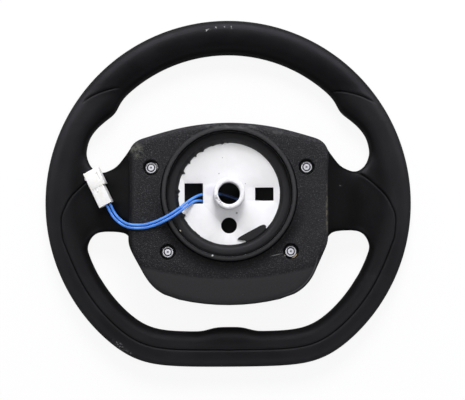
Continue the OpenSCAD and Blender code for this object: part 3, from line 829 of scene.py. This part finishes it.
# How often the foam is smoothed all over and at the spokes' roots, and where those lie
SMOOTH_ALL = 3
SMOOTH_ROOTS = 17
ROOTS_X = (128, 162)
ROOTS_Y = (-84, 72)


def make_foam():
    """Rim and spokes joined in one skin."""
    rim = bpy.data.objects.new("rim_foam", loft_mesh("rim_foam", rim_rings(), True, None))
    bpy.context.scene.collection.objects.link(rim)
    spokes = [loft_mesh("spoke", spoke_rings(side), False, None) for side in (-1, 1)]
    b = bmesh.new()
    b.from_mesh(rim.data)
    for spoke in spokes:
        b.from_mesh(spoke)
        bpy.data.meshes.remove(spoke)
    b.to_mesh(rim.data)
    b.free()
    remesh = rim.modifiers.new("remesh", "REMESH")
    remesh.mode = "VOXEL"
    remesh.voxel_size = VOXEL * MM
    apply_modifiers(rim)
    soften(rim.data)
    cut_seams(rim.data)
    rim.data.shade_smooth()
    rim.data.materials.clear()
    rim.data.materials.append(FOAM)
    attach(rim, "wheel")
    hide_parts("rim_grip")


def soften(mesh):
    """Smooths the voxel steps everywhere, and rounds the roots of the spokes."""
    b = bmesh.new()
    b.from_mesh(mesh)
    roots = []
    for v in b.verts:
        if ROOTS_X[0] < abs(v.co.x) / MM < ROOTS_X[1] and ROOTS_Y[0] < v.co.y / MM < ROOTS_Y[1]:
            roots.append(v)
    for verts, count in ((b.verts, SMOOTH_ALL), (roots, SMOOTH_ROOTS)):
        for _ in range(count):
            bmesh.ops.smooth_vert(
                b, verts=verts, factor=0.5, use_axis_x=True, use_axis_y=True, use_axis_z=True
            )
    b.to_mesh(mesh)
    b.free()


make_foam()


# The band of foam round the hub plate, with its ragged edge and the loose flap
ROUND_STEPS = 540
# Blobs of flash on the plate's edge: angle, reach, half width
BLOBS = [
    (205.5, 2.6, 1.7), (199, 1.2, 1.2), (182.5, 0.8, 1), (177, 1.7, 1.7), (155, 2.8, 1.2), (141.5, 1.6, 1),
    (131, 1.6, 1), (121, 1.4, 1.7), (108, 0.6, 1.2), (97, 0.7, 0.8), (91, 0.6, 0.7)
]
# The band's section as (outwards from the bare plate, z)
BAND_PROFILE = [
    (0.0, -1), (0.0, 0.7), (0.5, 1.5), (2, 3.2), (3.6, 4.4), (5, 5), (8.5, 5.2), (10, 4.5),
    (12, 3.4), (15, 2.4), (15, -9), (5, -9), (3, -2)
]


def ragged(a):
    """How far the foam creeps over the plate at an angle in degrees."""
    turn = math.radians(a)
    creep = 0.14 * noise.noise(Vector((math.cos(turn) * 14, math.sin(turn) * 14, 3)))
    for at, reach, width in BLOBS:
        off = (a - at + 180) % 360 - 180
        creep += reach * bell(off * math.pi / 180 * BARE_R / width)
    if 95 < a < 235:
        creep += 0.4 + 0.2 * noise.noise(Vector((a * 0.3, 1.5, 0)))
    return creep


def make_band():
    rings = []
    for i in range(ROUND_STEPS):
        a = 360 * i / ROUND_STEPS
        turn = math.radians(a)
        creep = ragged(a)
        ring = []
        for out, z in BAND_PROFILE:
            fade = max(0, 1 - out / 3)
            r = BARE_R + out - creep * fade - 0.1
            ring.append((r * math.cos(turn), r * math.sin(turn), z))
        rings.append(ring)
    piece = add_object("foam_band", loft_mesh("foam_band", rings, True, 50), FOAM)
    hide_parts("rim_grip")


# The flap's outline, seen along the shaft
FLAP = [
    (8.4, -45.6), (9.2, -44), (11, -42.8), (15, -40.5), (19.3, -38.2), (23.5, -36), (27.6, -33.8), (31, -32),
    (33.8, -31), (36, -31.2), (36.9, -32.4), (36.6, -34), (37.6, -35.6), (40, -36.4), (38, -42), (32, -48),
    (24, -51.6), (19, -52.6), (16.6, -51), (16.2, -49), (16.8, -47.6), (15.6, -46.7), (13.4, -46.6),
    (11, -46.2)
]
FLAP_T = 1.5


def make_flap():
    """A torn tongue of foam that curls up from the plate's edge."""
    b = bmesh.new()
    b.faces.new([b.verts.new((x, y, 0)) for x, y in FLAP])
    bmesh.ops.triangulate(b, faces=b.faces[:])
    for _ in range(3):
        bmesh.ops.subdivide_edges(b, edges=b.edges[:], cuts=1, use_grid_fill=True)
    made = bmesh.ops.extrude_face_region(b, geom=b.faces[:])
    top = [v for v in made["geom"] if isinstance(v, bmesh.types.BMVert)]
    for v in top:
        v.co.z += FLAP_T
    for v in b.verts:
        inward = BARE_R - math.hypot(v.co.x, v.co.y)
        v.co.z += 0.15 + 0.02 * max(0, inward) ** 1.5 + 0.25 * noise.noise(v.co * 0.25)
        v.co.z = max(v.co.z, 0.05)
    bmesh.ops.recalc_face_normals(b, faces=b.faces[:])
    for v in b.verts:
        v.co *= MM
    mesh = bpy.data.meshes.new("foam_flap")
    b.to_mesh(mesh)
    b.free()
    mesh.shade_smooth()
    mesh.set_sharp_from_angle(angle=math.radians(55))
    piece = add_object("foam_flap", mesh, FOAM)
    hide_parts("rim_grip")


make_band()
make_flap()


# The rear cover
TOP_BOW = 232
LOW_BOW = 222
# The left half of the cover's outline as arcs: centre's x and y, radius, first and last degree, steps
LEFT_ARCS = [
    (0, COVER_TOP - TOP_BOW, TOP_BOW, 90, 108.5, 24), (20 - COVER_X, 35.5, 20, 112, 180, 18),
    (30 - COVER_X, -42, 30, 182, 203, 10), (-CORNER_AT[0], CORNER_AT[1], CORNER_R, 206, 243, 16),
    (0, LOW_BOW - COVER_LOW, LOW_BOW, 257, 270, 14)
]


def arc(cx, cy, r, start, end, steps):
    turns = [math.radians(start + (end - start) * i / steps) for i in range(steps + 1)]
    return [(cx + r * math.cos(a), cy + r * math.sin(a)) for a in turns]


def outline(inset):
    left = []
    for x, y, r, start, end, steps in LEFT_ARCS:
        left += arc(x, y, r - inset, start, end, steps)
    return left + [(-x, y) for x, y in reversed(left[1:-1])]


# Places where the moulding is fuller than its drawn outline: angle, reach, half width
FULLNESS = [(27, 1.9, 9), (153, 1.9, 9), (209, 2.4, 13)]


def polar_outline(inset, steps):
    """Radii of the outline from the shaft, at even angles."""
    polar = sorted((math.atan2(y, x) % (2 * math.pi), math.hypot(x, y)) for x, y in outline(inset))
    angles = [a for a, _ in polar]
    radii = []
    for i in range(steps):
        a = 2 * math.pi * i / steps
        k = bisect.bisect_left(angles, a) % len(polar)
        (a0, r0), (a1, r1) = polar[k - 1], polar[k]
        p0 = Vector((r0 * math.cos(a0), r0 * math.sin(a0)))
        p1 = Vector((r1 * math.cos(a1), r1 * math.sin(a1)))
        d = Vector((math.cos(a), math.sin(a)))
        e = p1 - p0
        full = sum(reach * bell((math.degrees(a) - at) / width) for at, reach, width in FULLNESS)
        radii.append(p0.cross(e) / d.cross(e) + full)
    return smoothed(radii, 3)


def smoothed(values, reach):
    """The values of a closed ring, each the mean of its neighbours on both sides."""
    count = len(values)
    offsets = range(-reach, reach + 1)
    return [sum(values[(i + k) % count] for k in offsets) / len(offsets) for i in range(count)]


SKIRT_SLOPE = 0.5
SKIRT_BLEND = 2.2


def face_z(x, y):
    """Height of the cover's face, with the skirt that turns down at its lower end."""
    t = (SKIRT_Y + SKIRT_BOW * x * x - y) / SKIRT_BLEND
    fold = SKIRT_BLEND * (t if t > 20 else math.log1p(math.exp(t)))
    return COVER_Z - SKIRT_SLOPE * fold


EDGE = 6.5
# Insets from the outline at which the rounded edge has its points
EDGE_INSETS = (EDGE, 4.6, 3.2, 2, 1, 0.4, 0)
EDGE_DROP = 5
FACE_INSET = 9
FACE_STEPS = 16
THROAT_R = COLLAR_R - LIP_W
# The collar from its throat over the lip, as (radius, z)
COLLAR_LIP = [
    (THROAT_R, 6), (THROAT_R, LIP_Z - 2), (THROAT_R + 0.5, LIP_Z - 0.9), (THROAT_R + 1.4, LIP_Z - 0.3),
    (COLLAR_R - 2.8, LIP_Z), (COLLAR_R - 1.6, LIP_Z - 0.35), (COLLAR_R - 0.6, LIP_Z - 1.4),
    (COLLAR_R - 0.2, LIP_Z - 2.6)
]


def cover_rings():
    insets = (*EDGE_INSETS, FACE_INSET, WALL, WALL + 3)
    outer = {inset: polar_outline(inset, ROUND_STEPS) for inset in insets}
    rings = []
    for i in range(ROUND_STEPS):
        a = 2 * math.pi * i / ROUND_STEPS
        radii = {inset: outer[inset][i] for inset in insets}
        ring = cover_section(math.cos(a), math.sin(a), radii)
        rings.append([(r * math.cos(a), r * math.sin(a), z) for r, z in ring])
    return rings


def cover_section(c, s, outer):
    """One closed section of the cover as (radius, z), from the throat outwards and back under the face."""
    def face(r):
        return face_z(c * r, s * r)

    # Over the collar and across the face
    ring = COLLAR_LIP + [(COLLAR_R, face(COLLAR_R) + 0.9), (COLLAR_R + 0.7, face(COLLAR_R) + 0.1)]
    start = COLLAR_R + 1.2
    far = max(outer[FACE_INSET], start + 0.8)
    for k in range(FACE_STEPS + 1):
        r = start + (far - start) * k / FACE_STEPS
        ring.append((r, face(r)))
    # Over the rounded edge and down the flank, which ends higher above the spokes
    over_spoke = SPOKE_Y[0] - 1 < s * outer[0] < SPOKE_Y[1] + 1 and abs(c) > 0.5
    low = SPOKE_TOP + 0.3 if over_spoke else PARTING_Z
    for k, inset in enumerate(EDGE_INSETS):
        r = max(outer[inset], far + 0.15 * (k + 1))
        t = 1 - inset / EDGE
        drop = min(EDGE_DROP, face(r) - low - 1.5) * (1 - math.sqrt(max(0, 1 - t * t)))
        ring.append((r, face(r) - drop))
    r, top = outer[0], ring[-1][1]
    ring += [(r, top * 0.5 + low * 0.5), (r, low + 0.3), (r - 0.4, low)]
    # Back inside the wall and under the face
    inner = outer[WALL] - 0.3
    ceiling = face(inner) - min(EDGE_DROP, face(inner) - low - 1.5) - 1.2
    roof = max(low + 0.2, ceiling)
    deep = min(outer[WALL + 3], inner - 0.8)
    under = min(COLLAR_R + 4, deep - 0.5)
    ring += [(inner, low), (inner, roof), (deep, max(roof + 0.1, face(deep) - WALL))]
    ring += [(under, max(roof + 0.2, face(under) - WALL)), (THROAT_R + 2.2, COVER_Z - WALL - 0.4)]
    return ring + [(THROAT_R + 2, 6)]


WELL_STEPS = 72
# Each counterbore with a softened mouth and the hole in its floor, and the column that it is sunk into
WELL = [
    (RECESS_R + 2, COVER_Z + 1.4), (RECESS_R + 0.8, COVER_Z + 0.1), (RECESS_R + 0.2, COVER_Z - 0.5),
    (RECESS_R, COVER_Z - 1.2), (RECESS_R, SEAT_Z + 0.3), (RECESS_R - 0.3, SEAT_Z), (SCREW_HOLE_R, SEAT_Z),
    (SCREW_HOLE_R, -12)
]
COLUMN = [(RECESS_R + WALL, COVER_Z - 1.3), (RECESS_R + WALL, 0)]


def turned(profile):
    """Solids of revolution under every screw, from (radius, z) going down, joined in one mesh."""
    b = bmesh.new()
    turns = [2 * math.pi * i / WELL_STEPS for i in range(WELL_STEPS)]
    for x, y in SCREWS:
        rings = [[(x + r * math.cos(t), y + r * math.sin(t), z) for t in turns] for r, z in profile]
        mesh = loft_mesh("turned", rings, False, None)
        b.from_mesh(mesh)
        bpy.data.meshes.remove(mesh)
    mesh = bpy.data.meshes.new("turned")
    b.to_mesh(mesh)
    b.free()
    return mesh


def boolean(piece, mesh, operation):
    tool = bpy.data.objects.new("tool", mesh)
    bpy.context.scene.collection.objects.link(tool)
    modifier = piece.modifiers.new("boolean", "BOOLEAN")
    modifier.operation = operation
    modifier.solver = "EXACT"
    modifier.object = tool
    apply_modifiers(piece)
    bpy.data.objects.remove(tool)
    bpy.data.meshes.remove(mesh)


def make_cover():
    piece = add_object("cover_shell", loft_mesh("cover_shell", cover_rings(), True, None), COVER)
    boolean(piece, turned(COLUMN), "UNION")
    boolean(piece, turned(WELL), "DIFFERENCE")
    piece.data.materials.clear()
    piece.data.materials.append(COVER)
    piece.data.shade_smooth()
    piece.data.set_sharp_from_angle(angle=math.radians(35))
    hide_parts("rear_cover")


make_cover()


# Half of a screw's outline as (radius, z), from its small square socket down to the end of its thread
SCREW_OUTLINE = [
    (0.75, 7.2), (0.8, 7.9), (1, 8.1), (2.8, 8.1), (3, 7.9), (3.05, 6.05), (4.1, 6.05), (4.15, 6.65),
    (4.3, 6.8), (5, 6.8), (5.3, 6.6), (5.55, 6.1), (5.6, 5.2), (2.5, 5.2), (2.5, -11.5), (1.5, -13)
]
SOCKET_R = 0.9  # rings narrower than this are square


def make_screw(x, y, node):
    rings = []
    for r, z in SCREW_OUTLINE:
        ring = []
        for i in range(WELL_STEPS):
            t = 2 * math.pi * i / WELL_STEPS
            far = r / max(abs(math.cos(t)), abs(math.sin(t))) if r < SOCKET_R else r
            ring.append((x + far * math.cos(t), y + far * math.sin(t), z))
        rings.append(ring)
    piece = add_object(f"screw_{node}", loft_mesh(node, rings, False, 35), SCREW)
    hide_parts(node)


for number, (x, y) in enumerate(SCREWS, 1):
    make_screw(x, y, f"cover_screw_{number}")


# Finishes of the solids that stay as they are
def dress(material, *nodes, bevel):
    """Gives CAD nodes a material, joined corners, small rounded edges and smooth round faces."""
    for name in nodes:
        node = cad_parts[name]
        node.data.materials.clear()
        node.data.materials.append(material)
        weld = node.modifiers.new("weld", "WELD")
        weld.merge_threshold = 0.02 * MM
        if bevel:
            edge = node.modifiers.new("edge", "BEVEL")
            edge.width = bevel * MM
            edge.segments = 2
            edge.limit_method = "ANGLE"
            edge.angle_limit = math.radians(35)
            edge.harden_normals = True
        for polygon in node.data.polygons:
            polygon.use_smooth = True


numbers = range(1, len(SCREWS) + 1)
dress(PLATING, "hub_plate", bevel=0.3)
dress(BOSS, "hub_boss", bevel=0.3)
dress(GRUBBY, *(f"washer_{i}" for i in numbers), bevel=0.15)
dress(SPRING, *(f"horn_spring_{i}" for i in numbers), bevel=0)
dress(ROD, "rim_core", bevel=0)
dress(TIN, "terminal_a", "terminal_b", bevel=0.1)
dress(BRASS, "fixed_contact", "pad_contact", "pin_a", "pin_b", bevel=0.1)
dress(NYLON, "connector_housing", "connector_lock", bevel=0.3)
dress(HOUSING, "front_housing", bevel=0.3)
dress(PAD, "horn_pad", bevel=0.3)


# Floor and light, in metres
FLOOR_Z = cad_box[0].z
FLOOR_HALF = 6
WHITE_SHARE = 0.9


def make_floor():
    """Mostly white to the camera, with a share that takes the wheel's shadow, and dark to other rays."""
    mesh = bpy.data.meshes.new("floor")
    corners = [(x * FLOOR_HALF, y * FLOOR_HALF, FLOOR_Z) for x, y in ((-1, -1), (1, -1), (1, 1), (-1, 1))]
    mesh.from_pydata(corners, [], [(0, 1, 2, 3)])
    floor = bpy.data.objects.new("floor", mesh)
    bpy.context.scene.collection.objects.link(floor)
    material, shader = new_material("floor")
    g = Graph(material)
    path = g.add("ShaderNodeLightPath")
    g.link(g.mix(path.outputs["Is Camera Ray"], grey(0.15), grey(0.9)), shader.inputs["Base Color"])
    shader.inputs["Roughness"].default_value = 0.9
    shader.inputs["Specular IOR Level"].default_value = 0.1
    glow = g.add("ShaderNodeEmission")
    glow.inputs["Strength"].default_value = 1
    mix = g.add("ShaderNodeMixShader")
    g.link(g.times(path.outputs["Is Camera Ray"], WHITE_SHARE), mix.inputs[0])
    g.link(shader.outputs[0], mix.inputs[1])
    g.link(glow.outputs[0], mix.inputs[2])
    output = next(n for n in material.node_tree.nodes if n.type == "OUTPUT_MATERIAL")
    g.link(mix.outputs[0], output.inputs["Surface"])
    mesh.materials.append(material)


def make_world(strongest, six, round_about):
    """Pale grey where the camera sees it. Its light is broad past 12 o'clock, and low and weak all round.

    Six is the share of the broad light that is left at 6 o'clock, and round_about is the strength near
    the floor.
    """
    world = bpy.data.worlds.new("world")
    bpy.context.scene.world = world
    world.use_nodes = True
    world.node_tree.nodes.clear()
    g = Graph(world)
    split = g.add("ShaderNodeSeparateXYZ")
    g.link(g.add("ShaderNodeTexCoord").outputs["Generated"], split.inputs[0])
    towards = g.ramp(split.outputs["Y"], -0.2, 0.85, six, 1)
    sides = g.ramp(g.calc("ABSOLUTE", split.outputs["X"]), 0.5, 0.85, 1, 0.5)
    height = split.outputs["Z"]
    broad = g.times(towards, sides, g.ramp(height, 0.8, 0.5, 0.01, strongest))
    strength = g.plus(broad, g.ramp(height, 0.1, 0.45, round_about, 0))
    dim = g.add("ShaderNodeBackground")
    pale = g.add("ShaderNodeBackground")
    dim.inputs["Color"].default_value = (0.96, 0.94, 1.06, 1)
    g.link(strength, dim.inputs["Strength"])
    mix = g.add("ShaderNodeMixShader")
    g.link(g.add("ShaderNodeLightPath").outputs["Is Camera Ray"], mix.inputs[0])
    g.link(dim.outputs[0], mix.inputs[1])
    g.link(pale.outputs[0], mix.inputs[2])
    g.link(mix.outputs[0], g.add("ShaderNodeOutputWorld").inputs["Surface"])


def make_lamp(name, place, size, power):
    """A round lamp that points at the middle of the wheel."""
    data = bpy.data.lights.new(name, "AREA")
    data.shape = "DISK"
    data.size = size
    data.energy = power
    lamp = bpy.data.objects.new(name, data)
    bpy.context.scene.collection.objects.link(lamp)
    lamp.location = place
    lamp.rotation_mode = "QUATERNION"
    lamp.rotation_quaternion = (Vector() - Vector(place)).to_track_quat("-Z", "Y")
    lamp.visible_glossy = False


bpy.context.scene.view_settings.view_transform = "Standard"
make_floor()
make_world(strongest=1.9, six=0.2, round_about=0.25)
make_lamp("key", (0.05, 1.25, 1.3), size=0.8, power=26)
make_lamp("fill", (0, 0, 2.6), size=1.6, power=22)
